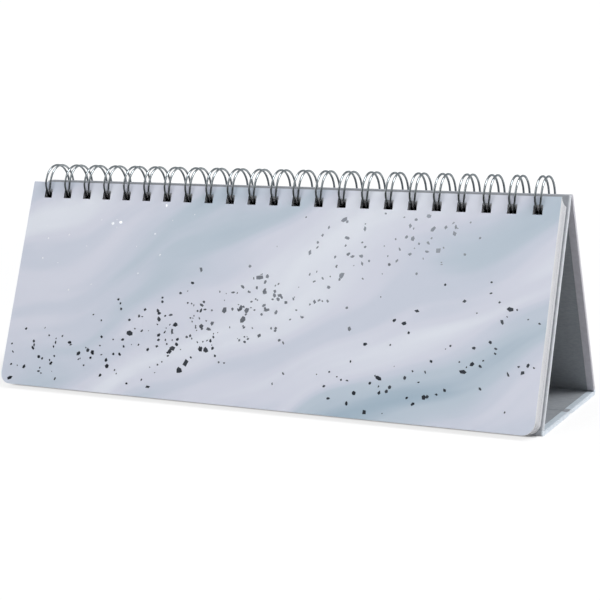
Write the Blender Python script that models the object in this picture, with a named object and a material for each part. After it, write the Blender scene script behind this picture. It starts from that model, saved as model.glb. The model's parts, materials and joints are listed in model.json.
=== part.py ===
"""Weekly desk planner: a wire-bound pad of weekly leaves on a folding easel stand.

The stand is one long strip of board in four panels: front, back and a base in two halves.
Each panel is a greyboard core in an outer paper wrap, with a darker liner on its inner face.
A twin-loop wire holds the cover, the leaves and the tops of the front and back panels.
"""
import math

import bmesh
import bpy
import numpy as np
from mathutils import Matrix, Vector

MM = 0.001

# Wire binding
LOOP_PITCH = 12.7 * MM
ROW_MARGIN = 8.0 * MM
RING_RADIUS = 11.0 * MM
WIRE_DIAMETER = 1.1 * MM
TIP_SPACING = 1.9 * MM
TIP_REACH = 1.5 * MM
SPINE_REACH = 1.9 * MM
NARROW_ARC = math.radians(28.0)
LEG_CLEARANCE = 0.3 * MM
LEG_POINTS = 10

# Pad
PAGE_WIDTH = 301.0 * MM
COVER_HEIGHT = 113.0 * MM
COVER_THICKNESS = 0.5 * MM
LEAF_HEIGHT = 109.0 * MM
PACK_COUNT = 12
PACK_THICKNESS = 0.6 * MM
PACK_GAP = 0.08 * MM
PAD_TO_BOARD = 0.3 * MM
CORNER_RADIUS = 6.0 * MM
CORNER_STEPS = 4
HOLE_SIZE = 4.7 * MM
HOLE_MARGIN = 6.65 * MM
HOLE_CLEARANCE = 0.75 * MM

# Stand
STAND_WIDTH = 300.0 * MM
PAD_SHIFT = -1.8 * MM
PANEL_LENGTH = 115.3 * MM
STAND_LEAN = math.radians(21.6)
BOARD_THICKNESS = 1.4 * MM
PAPER_THICKNESS = 0.2 * MM
GLUE_GAP = 0.1 * MM
TURN_IN = 3.5 * MM
APEX_GAP = 0.4 * MM
FOLD_CLEARANCE = 0.55 * MM
CREASE_GAP = 6.0 * MM
CREASE_RISE = 0.8 * MM
CORNER_BEND = 1.5 * MM
BEND_STEPS = 6
RING_BELOW_TOP = 2.4 * MM
RING_STANDOFF = 0.2 * MM

# Worked-out sizes
CUT_OVERSHOOT = 1.0 * MM
WELD_DISTANCE = 0.001 * MM
PANEL_THICKNESS = BOARD_THICKNESS + 2 * (PAPER_THICKNESS + GLUE_GAP)
HALF_BASE = (PANEL_LENGTH * math.sin(STAND_LEAN) + PANEL_THICKNESS * math.cos(STAND_LEAN)
             + APEX_GAP / 2)
CORNER_OPENING = math.pi / 2 - STAND_LEAN
FOLD_REACH = PANEL_THICKNESS / math.tan(CORNER_OPENING / 2)
CORNER_SETBACK = FOLD_REACH + FOLD_CLEARANCE
BEND_TANGENT = CORNER_BEND / math.tan(CORNER_OPENING / 2)

PAD_THICKNESS = PAD_TO_BOARD + PACK_COUNT * (PACK_THICKNESS + PACK_GAP) + COVER_THICKNESS
RING_UP = PANEL_LENGTH - RING_BELOW_TOP
COVER_OFFSET = PAD_THICKNESS - COVER_THICKNESS / 2
COVER_DISTANCE = COVER_OFFSET - RING_STANDOFF
LEG_SPACING = HOLE_SIZE - WIRE_DIAMETER - 2 * LEG_CLEARANCE

# The hole row is centred on the pad, and its end holes keep a margin to the ends of pad and stand.
ROW_WIDTH = min(PAGE_WIDTH, STAND_WIDTH - 2 * abs(PAD_SHIFT)) - 2 * ROW_MARGIN
LOOP_COUNT = math.floor(ROW_WIDTH / LOOP_PITCH) + 1

# Angles round the ring, up from the rear. The wire comes down through the cover and the leaves to
# its tip just inside the front panel, and the spine lies a little further on.
COVER_ANGLE = 3 * math.pi - STAND_LEAN + math.acos(COVER_DISTANCE / RING_RADIUS)
INSIDE_ANGLE = 3 * math.pi - STAND_LEAN + math.acos(-(PANEL_THICKNESS + RING_STANDOFF) / RING_RADIUS)
TIP_ANGLE = INSIDE_ANGLE + TIP_REACH / RING_RADIUS
SPINE_ANGLE = TIP_ANGLE + SPINE_REACH / RING_RADIUS - 2 * math.pi


def wire_drop(distance):
    """How far below the ring centre's foot the wire passes through a sheet at this distance."""
    return math.sqrt(RING_RADIUS ** 2 - distance ** 2)


def hole_centre_up(offset):
    """Height up the front panel of the hole row of a sheet standing this far off the panel.

    The cover hangs with the wire near the top of its holes. The leaves behind it hang lower, so
    the last ones have the wire near the bottom of theirs.
    """
    slope = math.asin(COVER_DISTANCE / RING_RADIUS)
    wire_height = WIRE_DIAMETER / 2 / math.cos(slope) + COVER_THICKNESS / 2 * math.tan(slope)
    cover_hang = HOLE_SIZE / 2 - wire_height - HOLE_CLEARANCE
    rear_hang = WIRE_DIAMETER / 2 + HOLE_CLEARANCE - HOLE_SIZE / 2
    distance = offset - RING_STANDOFF
    hang = rear_hang + (cover_hang - rear_hang) * distance / COVER_DISTANCE
    return RING_UP - wire_drop(distance) - hang


# The origin is under the middle of the whole width and depth. The pad reaches past the stand at
# the left and in front, and the rear corner is rounded.
LEFT_REACH = max(STAND_WIDTH / 2, PAGE_WIDTH / 2 - PAD_SHIFT)
RIGHT_REACH = max(STAND_WIDTH / 2, PAGE_WIDTH / 2 + PAD_SHIFT)
STAND_X = (LEFT_REACH - RIGHT_REACH) / 2
PAD_X = STAND_X + PAD_SHIFT
COVER_BOTTOM = hole_centre_up(COVER_OFFSET) + HOLE_MARGIN - COVER_HEIGHT
FRONT_REACH = PAD_THICKNESS * math.cos(STAND_LEAN) - COVER_BOTTOM * math.sin(STAND_LEAN)
REAR_LOSS = BEND_TANGENT - CORNER_BEND
STAND_MIDDLE = (FRONT_REACH + REAR_LOSS) / 2
FRONT_CORNER = Vector((STAND_X, STAND_MIDDLE - HALF_BASE, 0))
REAR_CORNER = Vector((STAND_X, STAND_MIDDLE + HALF_BASE, 0))


def loop_x(index):
    """Centre of one wire loop, from the middle of the pad."""
    return (index - (LOOP_COUNT - 1) / 2) * LOOP_PITCH


def slope_frame(corner, facing):
    """Panel frame: x across, y up the panel, z out of its outer face; facing is -1 front, 1 back."""
    up_slope = Vector((0, -facing * math.sin(STAND_LEAN), math.cos(STAND_LEAN)))
    outward = Vector((0, facing * math.cos(STAND_LEAN), math.sin(STAND_LEAN)))
    frame = Matrix((up_slope.cross(outward), up_slope, outward)).transposed().to_4x4()
    frame.translation = corner
    return frame


def floor_frame(corner, facing):
    """Base-half frame: y runs in from the outer corner, z points down through its outer face."""
    inward = Vector((0, -facing, 0))
    outward = Vector((0, 0, -1))
    frame = Matrix((inward.cross(outward), inward, outward)).transposed().to_4x4()
    frame.translation = corner
    return frame


FRONT_FRAME = slope_frame(FRONT_CORNER, -1)
BACK_FRAME = slope_frame(REAR_CORNER, 1)
BASE_FRONT_FRAME = floor_frame(FRONT_CORNER, -1)
BASE_REAR_FRAME = floor_frame(REAR_CORNER, 1)
RING_CENTRE = FRONT_FRAME @ Vector((PAD_SHIFT, RING_UP, RING_STANDOFF))

# A base half turns about the line where its inner face meets the panel's inner face.
FRONT_FOLD = FRONT_CORNER + Vector((0, FOLD_REACH, PANEL_THICKNESS))
REAR_FOLD = REAR_CORNER + Vector((0, -FOLD_REACH, PANEL_THICKNESS))


def start_scene():
    """Empty the file and make the two collections."""
    for old in list(bpy.data.objects):
        bpy.data.objects.remove(old, do_unlink=True)
    collections = []
    for name in ("weekly_planner", "cutters"):
        collection = bpy.data.collections.new(name)
        bpy.context.scene.collection.children.link(collection)
        collections.append(collection)
    return collections


PARTS, CUTTERS = start_scene()


def finish_material(name, colour, roughness, metallic=0.0):
    """A plain Principled material."""
    material = bpy.data.materials.new(name)
    material.use_nodes = True
    shader = material.node_tree.nodes["Principled BSDF"]
    shader.inputs["Base Color"].default_value = (*colour, 1.0)
    shader.inputs["Roughness"].default_value = roughness
    shader.inputs["Metallic"].default_value = metallic
    material.diffuse_color = (*colour, 1.0)
    return material


GREYBOARD = finish_material("greyboard", (0.33, 0.31, 0.28), 0.9)
WRAP_PAPER = finish_material("silver_grey_wrap_paper", (0.58, 0.60, 0.63), 0.6)
LINER_PAPER = finish_material("grey_liner_paper", (0.26, 0.27, 0.28), 0.8)
STEEL_WIRE = finish_material("bright_steel_wire", (0.55, 0.56, 0.58), 0.25, 1.0)
COVER_CARD = finish_material("printed_cover_card", (0.62, 0.67, 0.75), 0.45)
LEAF_PAPER = finish_material("white_leaf_paper", (0.88, 0.88, 0.86), 0.85)


def joint_empty(name, place):
    """An empty on a joint's axis, which the moving pieces hang from."""
    empty = bpy.data.objects.new(name, None)
    empty.location = place
    PARTS.objects.link(empty)
    return empty


RING_AXIS = joint_empty("ring_axis", RING_CENTRE)
BACK_AXIS = joint_empty("back_panel_axis", RING_CENTRE)
FRONT_FOLD_AXIS = joint_empty("front_fold_axis", FRONT_FOLD)
REAR_FOLD_AXIS = joint_empty("rear_fold_axis", REAR_FOLD)
REAR_FOLD_AXIS.parent = BACK_AXIS
REAR_FOLD_AXIS.location = REAR_FOLD - RING_CENTRE
bpy.context.view_layer.update()


def place_part(obj, frame, material, parent=None):
    """Link a finished piece, give it its material and hang it from its joint's empty."""
    if obj.name not in PARTS.objects:
        PARTS.objects.link(obj)
    obj.data.materials.clear()
    obj.data.materials.append(material)
    if parent is not None:
        obj.parent = parent
        obj.matrix_parent_inverse = parent.matrix_world.inverted()
    obj.matrix_world = frame
    return obj


def solid_from_curve(name, curve):
    """Turn a curve into a welded closed mesh."""
    holder = bpy.data.objects.new(name + "_curve", curve)
    bpy.context.scene.collection.objects.link(holder)
    bpy.context.view_layer.update()
    evaluated = holder.evaluated_get(bpy.context.evaluated_depsgraph_get())
    mesh = bpy.data.meshes.new_from_object(evaluated)
    bpy.data.objects.remove(holder)
    shape = bmesh.new()
    shape.from_mesh(mesh)
    bmesh.ops.remove_doubles(shape, verts=shape.verts, dist=WELD_DISTANCE)
    bmesh.ops.recalc_face_normals(shape, faces=shape.faces)
    shape.to_mesh(mesh)
    shape.free()
    mesh.name = name
    return bpy.data.objects.new(name, mesh)


def add_outline(curve, points):
    """Add one closed straight-sided outline to a flat curve."""
    spline = curve.splines.new("POLY")
    spline.points.add(len(points) - 1)
    for point, (x, y) in zip(spline.points, points):
        point.co = (x, y, 0, 1)
    spline.use_cyclic_u = True


def flat_solid(name, outlines, thickness):
    """A flat piece from outlines, centred on its own plane; inner outlines are holes."""
    curve = bpy.data.curves.new(name, "CURVE")
    curve.dimensions = "2D"
    curve.fill_mode = "BOTH"
    curve.extrude = thickness / 2
    for points in outlines:
        add_outline(curve, points)
    return solid_from_curve(name, curve)


def rectangle(low_x, high_x, low_y, high_y):
    """Corners of a rectangle."""
    return [(low_x, low_y), (high_x, low_y), (high_x, high_y), (low_x, high_y)]


def hole_outlines(centre_up, row_x):
    """One square hole for each wire loop, in a row with its middle at this place."""
    half = HOLE_SIZE / 2
    rows = []
    for index in range(LOOP_COUNT):
        x = row_x + loop_x(index)
        rows.append(rectangle(x - half, x + half, centre_up - half, centre_up + half))
    return rows


def sheet_outline(bottom, top):
    """A sheet with square top corners and rounded bottom corners."""
    half = PAGE_WIDTH / 2
    points = [(half, top), (-half, top)]
    for side, start in ((-1, math.pi), (1, 1.5 * math.pi)):
        for step in range(CORNER_STEPS + 1):
            angle = start + step * (math.pi / 2) / CORNER_STEPS
            x = side * (half - CORNER_RADIUS) + CORNER_RADIUS * math.cos(angle)
            points.append((x, bottom + CORNER_RADIUS + CORNER_RADIUS * math.sin(angle)))
    return points


def bound_sheet(name, offset, height, thickness, material):
    """A punched sheet of the pad, standing off the front panel and turning about the ring."""
    hole_up = hole_centre_up(offset)
    top = hole_up + HOLE_MARGIN
    outlines = [sheet_outline(top - height, top)] + hole_outlines(hole_up, 0)
    sheet = flat_solid(name, outlines, thickness)
    frame = FRONT_FRAME @ Matrix.Translation((PAD_SHIFT, 0, offset))
    return place_part(sheet, frame, material, RING_AXIS)


def box_mesh(name, corners):
    """Boxes as one mesh, from (low, high) corner pairs."""
    shape = bmesh.new()
    for low, high in corners:
        size = Vector(high) - Vector(low)
        middle = (Vector(high) + Vector(low)) / 2
        bmesh.ops.create_cube(shape, size=1.0,
                              matrix=Matrix.Translation(middle) @ Matrix.Diagonal((*size, 1)))
    mesh = bpy.data.meshes.new(name)
    shape.to_mesh(mesh)
    shape.free()
    return bpy.data.objects.new(name, mesh)


def cut_away(piece, name, corners, frame):
    """Cut boxes out of a piece; the cutter stays in the file as a hidden guide."""
    cutter = box_mesh(name, corners)
    CUTTERS.objects.link(cutter)
    cutter.matrix_world = frame
    cutter.hide_render = True
    cutter.display_type = "WIRE"
    cut = piece.modifiers.new(name, "BOOLEAN")
    cut.operation = "DIFFERENCE"
    cut.solver = "EXACT"
    cut.object = cutter


def paper_wrap(name, frame, low, high, top_turn_in, hole_row, parent):
    """Outer paper of one panel: its face, its ends and the border turned in on the inner side."""
    half = STAND_WIDTH / 2
    inner = -PANEL_THICKNESS
    past = CUT_OVERSHOOT
    wrap = box_mesh(name, [((-half, low, inner), (half, high, 0))])
    place_part(wrap, frame, WRAP_PAPER, parent)
    cavity_high = high - PAPER_THICKNESS if top_turn_in else high + past
    window_high = high - TURN_IN if top_turn_in else high + past
    cavity_half = half - PAPER_THICKNESS
    window_half = half - TURN_IN
    cut_away(wrap, name + "_cavity", [((-cavity_half, low - past, inner + PAPER_THICKNESS),
                                       (cavity_half, cavity_high, -PAPER_THICKNESS))], frame)
    cut_away(wrap, name + "_window", [((-window_half, low - past, inner - past),
                                       (window_half, window_high, inner / 2))], frame)
    if hole_row is not None:
        slots = []
        for corners in hole_outlines(*hole_row):
            slots.append(((*corners[0], inner / 2), (*corners[2], past)))
        cut_away(wrap, name + "_holes", slots, frame)
    return wrap


def panel(name, frame, low, high, top_turn_in, hole_row, parent):
    """One stand panel: greyboard core, outer wrap and inner liner."""
    half = STAND_WIDTH / 2
    inset = PAPER_THICKNESS + GLUE_GAP
    holes = hole_outlines(*hole_row) if hole_row is not None else []
    core_high = high - inset if top_turn_in else high
    core = flat_solid(name + "_board", [rectangle(inset - half, half - inset, low, core_high)] + holes,
                      BOARD_THICKNESS)
    place_part(core, frame @ Matrix.Translation((0, 0, -PANEL_THICKNESS / 2)), GREYBOARD, parent)
    paper_wrap(name + "_wrap", frame, low, high, top_turn_in, hole_row, parent)
    edge = half - TURN_IN - GLUE_GAP
    liner_high = high - TURN_IN - GLUE_GAP if top_turn_in else high
    liner = flat_solid(name + "_liner", [rectangle(-edge, edge, low, liner_high)] + holes,
                       PAPER_THICKNESS)
    place_part(liner, frame @ Matrix.Translation((0, 0, PAPER_THICKNESS / 2 - PANEL_THICKNESS)),
               LINER_PAPER, parent)


def panel_hole_row(frame):
    """Where the wire ring passes through a panel: height up the panel and place across it."""
    centre = frame.inverted() @ RING_CENTRE
    return centre.y - wire_drop(-PANEL_THICKNESS / 2 - centre.z), centre.x


def strip_solid(name, path, frame, parent):
    """A paper hinge strip across the stand's whole width, following a path in the side view."""
    outer = [Vector(point) for point in path]
    inner = []
    for index, point in enumerate(outer):
        before = outer[max(index - 1, 0)]
        after = outer[min(index + 1, len(outer) - 1)]
        along = (after - before).normalized()
        inner.append(point + PAPER_THICKNESS * Vector((-along.y, along.x)))
    outline = [tuple(point) for point in outer + inner[::-1]]
    strip = flat_solid(name, [outline], STAND_WIDTH)
    return place_part(strip, frame, WRAP_PAPER, parent)


def side_view(corner, facing):
    """Frame whose x runs in over the floor from a corner, y up and z along the width."""
    inward = Vector((0, -facing, 0))
    upward = Vector((0, 0, 1))
    frame = Matrix((inward, upward, inward.cross(upward))).transposed().to_4x4()
    frame.translation = corner
    return frame


def corner_crease(name, corner, facing, parent):
    """The wrap's bend at a bottom corner, from the panel's lower edge round to the base."""
    opening = CORNER_OPENING
    reach = CORNER_SETBACK - GLUE_GAP
    centre = Vector((BEND_TANGENT, CORNER_BEND))
    path = [(reach * math.cos(opening), reach * math.sin(opening))]
    turn = math.pi - opening
    for step in range(BEND_STEPS + 1):
        angle = math.pi / 2 + opening + turn * step / BEND_STEPS
        path.append((centre.x + CORNER_BEND * math.cos(angle),
                     centre.y + CORNER_BEND * math.sin(angle)))
    path.append((reach, 0.0))
    return strip_solid(name, path, side_view(corner, facing), parent)


def base_crease(name, parent):
    """The wrap's crease between the base halves, pushed up a little in the middle."""
    reach = CREASE_GAP / 2 - GLUE_GAP
    path = [(HALF_BASE - reach, 0.0), (HALF_BASE, CREASE_RISE), (HALF_BASE + reach, 0.0)]
    return strip_solid(name, path, side_view(FRONT_CORNER, -1), parent)


def leg_spacing(angle):
    """Distance between a loop's two legs, closing in towards the tip."""
    share = 1 - (COVER_ANGLE - angle) / NARROW_ARC
    share = min(max(share, 0.0), 1.0)
    smooth = share * share * (3 - 2 * share)
    return LEG_SPACING + (TIP_SPACING - LEG_SPACING) * smooth


def ring_point(x, angle, radius):
    """A point on the ring at this angle, measured up from the rear."""
    return Vector((x, RING_CENTRE.y + radius * math.cos(angle),
                   RING_CENTRE.z + radius * math.sin(angle)))


def wire_path():
    """The whole wire: spine, leg, tip and leg of each loop in turn."""
    tip_radius = TIP_SPACING / 2
    leg_end = TIP_ANGLE - tip_radius / RING_RADIUS
    step = (leg_end - SPINE_ANGLE) / (LEG_POINTS - 1)
    corner = WIRE_DIAMETER / RING_RADIUS
    middle_radius = RING_RADIUS * 2 / (1 + math.cos(step / 2))
    path = []
    for index in range(LOOP_COUNT):
        x = PAD_X + loop_x(index)
        angles = [SPINE_ANGLE + corner] + [SPINE_ANGLE + step * k for k in range(1, LEG_POINTS)]
        spine_turn = LEG_SPACING / 2 + WIRE_DIAMETER
        path.append(ring_point(x - spine_turn, SPINE_ANGLE, RING_RADIUS))
        for angle in angles:
            path.append(ring_point(x - leg_spacing(angle) / 2, angle, middle_radius))
        for turn in (0.25, 0.5, 0.75):
            bend = math.pi * turn
            path.append(ring_point(x - tip_radius * math.cos(bend),
                                   leg_end + tip_radius * math.sin(bend) / RING_RADIUS, middle_radius))
        for angle in reversed(angles):
            path.append(ring_point(x + leg_spacing(angle) / 2, angle, middle_radius))
        path.append(ring_point(x + spine_turn, SPINE_ANGLE, RING_RADIUS))
    return path


def least_gap(path):
    """Smallest clear distance between stretches of the wire that aren't neighbours."""
    dense = []
    for first, second in zip(path, path[1:]):
        for part in range(4):
            dense.append(first.lerp(second, part / 4))
    points = np.array(dense)
    lengths = np.linalg.norm(np.diff(points, axis=0), axis=1)
    along = np.concatenate(([0.0], np.cumsum(lengths)))
    least = math.inf
    for index in range(len(points)):
        far = np.abs(along - along[index]) > 3 * TIP_SPACING
        if far.any():
            least = min(least, np.linalg.norm(points[far] - points[index], axis=1).min())
    return least - WIRE_DIAMETER


def wire_binding(name):
    """The twin-loop wire as one unbroken tube."""
    path = wire_path()
    curve = bpy.data.curves.new(name, "CURVE")
    curve.dimensions = "3D"
    curve.bevel_depth = WIRE_DIAMETER / 2
    curve.bevel_resolution = 1
    curve.use_fill_caps = True
    spline = curve.splines.new("POLY")
    spline.points.add(len(path) - 1)
    for point, place in zip(spline.points, path):
        point.co = (*place, 1)
    wire = solid_from_curve(name, curve)
    wire.data.shade_smooth()
    place_part(wire, Matrix.Identity(4), STEEL_WIRE)
    print(f"{name}: least gap to itself {least_gap(path) / MM:.2f} mm")


def build_stand():
    """The four panels and the three paper creases between them."""
    panel("front", FRONT_FRAME, CORNER_SETBACK, PANEL_LENGTH, True, panel_hole_row(FRONT_FRAME), None)
    panel("back", BACK_FRAME, CORNER_SETBACK, PANEL_LENGTH, True, panel_hole_row(BACK_FRAME), BACK_AXIS)
    base_end = HALF_BASE - CREASE_GAP / 2
    panel("base_front", BASE_FRONT_FRAME, CORNER_SETBACK, base_end, False, None, FRONT_FOLD_AXIS)
    panel("base_rear", BASE_REAR_FRAME, CORNER_SETBACK, base_end, False, None, REAR_FOLD_AXIS)
    corner_crease("front_crease", FRONT_CORNER, -1, None)
    corner_crease("rear_crease", REAR_CORNER, 1, BACK_AXIS)
    base_crease("base_crease", FRONT_FOLD_AXIS)


def build_pad():
    """The leaf packs from the back of the pad to the front, then the cover."""
    for index in range(PACK_COUNT):
        place = PACK_COUNT - 1 - index
        offset = PAD_TO_BOARD + PACK_THICKNESS / 2 + place * (PACK_THICKNESS + PACK_GAP)
        bound_sheet(f"leaf_pack_{index + 1:02d}", offset, LEAF_HEIGHT, PACK_THICKNESS, LEAF_PAPER)
    bound_sheet("front_cover", COVER_OFFSET, COVER_HEIGHT, COVER_THICKNESS, COVER_CARD)


build_stand()
build_pad()
wire_binding("wire_binding")
bpy.context.view_layer.update()
for label, place in (("ring centre", RING_CENTRE), ("front fold", FRONT_FOLD), ("rear fold", REAR_FOLD)):
    print(f"{label}: {place.x / MM:.3f}, {place.y / MM:.3f}, {place.z / MM:.3f} mm")
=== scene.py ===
# %% [markdown]
# # A weekly planner on a folding stand
# The planner is a wire-bound pad that hangs on an easel of wrapped board. The CAD model gives every
# piece its place and size. This lesson dresses it: finer paper, a round wire, a printed cover and
# the light of a small photo studio. Everything is in metres, in the CAD model's own frame.

# %% Load the CAD model
import json
import math
import random

import bmesh
import bpy
from mathutils import Matrix, Vector


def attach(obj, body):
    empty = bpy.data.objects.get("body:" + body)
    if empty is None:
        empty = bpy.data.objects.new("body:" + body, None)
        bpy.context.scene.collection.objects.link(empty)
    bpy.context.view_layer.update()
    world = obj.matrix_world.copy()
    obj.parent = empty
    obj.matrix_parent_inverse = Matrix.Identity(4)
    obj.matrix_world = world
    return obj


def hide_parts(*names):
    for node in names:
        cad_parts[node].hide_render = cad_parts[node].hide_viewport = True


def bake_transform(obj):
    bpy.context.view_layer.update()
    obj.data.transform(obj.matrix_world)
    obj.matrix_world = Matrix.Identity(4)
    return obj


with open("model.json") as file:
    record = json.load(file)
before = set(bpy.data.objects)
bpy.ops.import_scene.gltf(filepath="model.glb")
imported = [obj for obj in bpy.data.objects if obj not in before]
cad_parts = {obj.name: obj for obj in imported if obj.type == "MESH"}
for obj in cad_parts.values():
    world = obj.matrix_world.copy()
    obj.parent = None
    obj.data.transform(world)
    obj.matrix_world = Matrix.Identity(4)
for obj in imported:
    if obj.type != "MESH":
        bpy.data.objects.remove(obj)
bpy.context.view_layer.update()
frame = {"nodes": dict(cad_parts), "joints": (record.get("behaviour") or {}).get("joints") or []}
MM = 0.001

# %% [markdown]
# ## The camera
# The planner was seen from its right, a little above it, through a long lens. The turn, height and
# roll were found by fitting the row of punched holes, whose spacing is a trade size. Building the
# camera's axes from those angles keeps the roll, which aiming at a point would lose.

# %% Place the camera
LENS, SENSOR_WIDTH = 92.01, 36.0
CLIP_START, CLIP_END = 0.05, 50.0
VIEW_TURN, VIEW_DOWN, VIEW_ROLL = (math.radians(v) for v in (26.791, 10.324, -1.437))
VIEW_PLACE = Vector((360.78, -698.49, 191.52)) * MM

ahead = Vector((-math.sin(VIEW_TURN) * math.cos(VIEW_DOWN),
                math.cos(VIEW_TURN) * math.cos(VIEW_DOWN), -math.sin(VIEW_DOWN)))
level = Vector((math.cos(VIEW_TURN), math.sin(VIEW_TURN), 0))
above = level.cross(ahead)
across = math.cos(VIEW_ROLL) * level + math.sin(VIEW_ROLL) * above
upward = math.cos(VIEW_ROLL) * above - math.sin(VIEW_ROLL) * level
camera = bpy.data.objects.new("camera", bpy.data.cameras.new("camera"))
camera.data.lens, camera.data.sensor_width = LENS, SENSOR_WIDTH
camera.data.clip_start, camera.data.clip_end = CLIP_START, CLIP_END
camera.matrix_world = Matrix.Translation(VIEW_PLACE) @ Matrix(
    (across, upward, -ahead)).transposed().to_4x4()
bpy.context.scene.collection.objects.link(camera)
bpy.context.scene.camera = camera
bpy.context.scene.view_settings.view_transform = "Standard"
print("camera", [round(v, 3) for v in camera.location])

# %% [markdown]
# ## Colours and nodes
# A colour is written as the sRGB hex value that a painter would pick, and turned to the linear
# light that shaders add up. One small function adds a node: it sets the node's options, writes
# plain values on its sockets and links the sockets that it is given.

# %% Colour and node helpers
def linear(hex_colour):
    """An sRGB hex colour as linear red, green, blue and a full alpha."""
    values = [int(hex_colour[i:i + 2], 16) / 255 for i in (1, 3, 5)]
    return [v / 12.92 if v <= 0.04045 else ((v + 0.055) / 1.055) ** 2.4 for v in values] + [1.0]


def add_node(tree, kind, inputs=None, **options):
    """Add a node with its options, and set or link its inputs."""
    made = tree.nodes.new(kind)
    for name, value in options.items():
        setattr(made, name, value)
    for name, value in (inputs or {}).items():
        if isinstance(value, bpy.types.NodeSocket):
            tree.links.new(value, made.inputs[name])
        else:
            made.inputs[name].default_value = value
    return made


def start_material(name, **values):
    """A material with a Principled shader whose constant sockets are set directly."""
    made = bpy.data.materials.new(name)
    made.use_nodes = True
    shader = made.node_tree.nodes["Principled BSDF"]
    for socket, value in values.items():
        shader.inputs[socket.replace("_", " ")].default_value = value
    return made, made.node_tree, shader


print("white paper #f4f3ee in linear light:", [round(v, 3) for v in linear("#f4f3ee")])

# %% [markdown]
# ## Patterns
# Paper, foil and steel are never one flat tone. Their patterns are noise whose grain is given in
# real millimetres, so a cloud of fibres is as large as on the real sheet. These short functions
# build on add_node and keep the materials below easy to read.

# %% Pattern helpers
def object_place(tree):
    """Metres in the CAD frame, because every piece sits unturned at the origin."""
    return add_node(tree, "ShaderNodeTexCoord").outputs["Object"]


def noise_of(tree, place, grain, detail=2.0, roughness=0.5):
    """Soft noise with patches about one grain wide: its value and its colour."""
    return add_node(tree, "ShaderNodeTexNoise", {
        "Vector": place, "Scale": 1 / grain, "Detail": detail, "Roughness": roughness}).outputs


def colour_steps(tree, factor, steps):
    """A colour ramp from (place, hex) steps, driven by a factor."""
    made = add_node(tree, "ShaderNodeValToRGB", {"Fac": factor})
    made.color_ramp.interpolation = "EASE"
    while len(made.color_ramp.elements) < len(steps):
        made.color_ramp.elements.new(1.0)
    for element, (place, colour) in zip(made.color_ramp.elements, steps):
        element.position = place
        element.color = linear(colour)
    return made.outputs["Color"]


def two_tones(tree, cloud, dark, light):
    """A tone that wavers between two colours with a noise, most of which lies from 0.3 to 0.7."""
    return colour_steps(tree, cloud["Fac"], [(0.3, dark), (0.7, light)])


def set_colour(tree, shader, colour):
    """Give a shader its colour."""
    tree.links.new(colour, shader.inputs["Base Color"])


def set_bump(tree, shader, cloud, strength, depth):
    """Let a noise rise out of the surface, so that light picks it out."""
    bump = add_node(tree, "ShaderNodeBump", {
        "Height": cloud["Fac"], "Strength": strength, "Distance": depth})
    tree.links.new(bump.outputs["Normal"], shader.inputs["Normal"])


print("a grain of 2.5 mm is a noise scale of", round(1 / (2.5 * MM)))

# %% [markdown]
# ## Sums on a surface
# Some patterns are drawn and not grown, such as rules on a leaf or the rubbed end of a panel. They
# are masks between 0 and 1, made by a little arithmetic on the place of each point.

# %% Mask helpers
def calculate(tree, operation, *values):
    """One step of arithmetic on numbers or sockets."""
    return add_node(tree, "ShaderNodeMath", dict(enumerate(values)),
                    operation=operation).outputs["Value"]


def ramp(tree, value, low, high, first=0.0, last=1.0, course="LINEAR"):
    """A value that runs from first to last while another runs from low to high."""
    return add_node(tree, "ShaderNodeMapRange", {
        "Value": value, "From Min": low, "From Max": high, "To Min": first, "To Max": last},
        interpolation_type=course).outputs["Result"]


def mix_colours(tree, share, first, second):
    """The second colour over the first one, where the share is 1."""
    return add_node(tree, "ShaderNodeMix", {0: share, 6: first, 7: second},
                    data_type="RGBA").outputs[2]


print("mask helpers:", calculate.__name__, ramp.__name__, mix_colours.__name__)

# %% [markdown]
# ## The slope that the pad hangs on
# The pad leans back on the stand's front panel. It is easier to draw a sheet flat, with x across,
# y up the slope and z out of it, and then to place it. The ring's centre is the cover's turning
# axis in the CAD model, so the slope frame is set out from there.

# %% The slope frame
LEAN = math.radians(21.6)
RING_UP, RING_STANDOFF = 112.9 * MM, 0.2 * MM
turn_joint = next(joint for joint in frame["joints"] if joint["name"] == "cover_turn")
RING = Vector(turn_joint["pos_m"])
SLOPE_UP = Vector((0, math.sin(LEAN), math.cos(LEAN)))
SLOPE_OUT = Vector((0, -math.cos(LEAN), math.sin(LEAN)))
SLOPE = Matrix((SLOPE_UP.cross(SLOPE_OUT), SLOPE_UP, SLOPE_OUT)).transposed().to_4x4()
SLOPE.translation = RING - RING_UP * SLOPE_UP - RING_STANDOFF * SLOPE_OUT


def slope_box(node):
    """Lowest and highest corner of a CAD node, measured along the slope frame."""
    points = [SLOPE.inverted() @ v.co for v in frame["nodes"][node].data.vertices]
    return [Vector(pick(p[axis] for p in points) for axis in range(3)) for pick in (min, max)]


def slope_coordinates(tree):
    """Object coordinates turned so that x runs across the pad and y up its slope."""
    return add_node(tree, "ShaderNodeMapping", {
        "Vector": object_place(tree), "Rotation": (LEAN - math.pi / 2, 0, 0)}).outputs["Vector"]


COVER_LOW, COVER_HIGH = slope_box("front_cover")
print("cover in mm:", [round(v / MM, 2) for v in COVER_HIGH - COVER_LOW])

# %% [markdown]
# ## The blank of a sheet
# The cover and the leaves are die-cut sheets with two rounded lower corners. A blank is one flat
# face of the right size, and a bevel of its two lower points rounds it, as the die does.

# %% Cut blank sheets
CORNER_RADIUS, CORNER_STEPS = 6.0 * MM, 8


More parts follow.
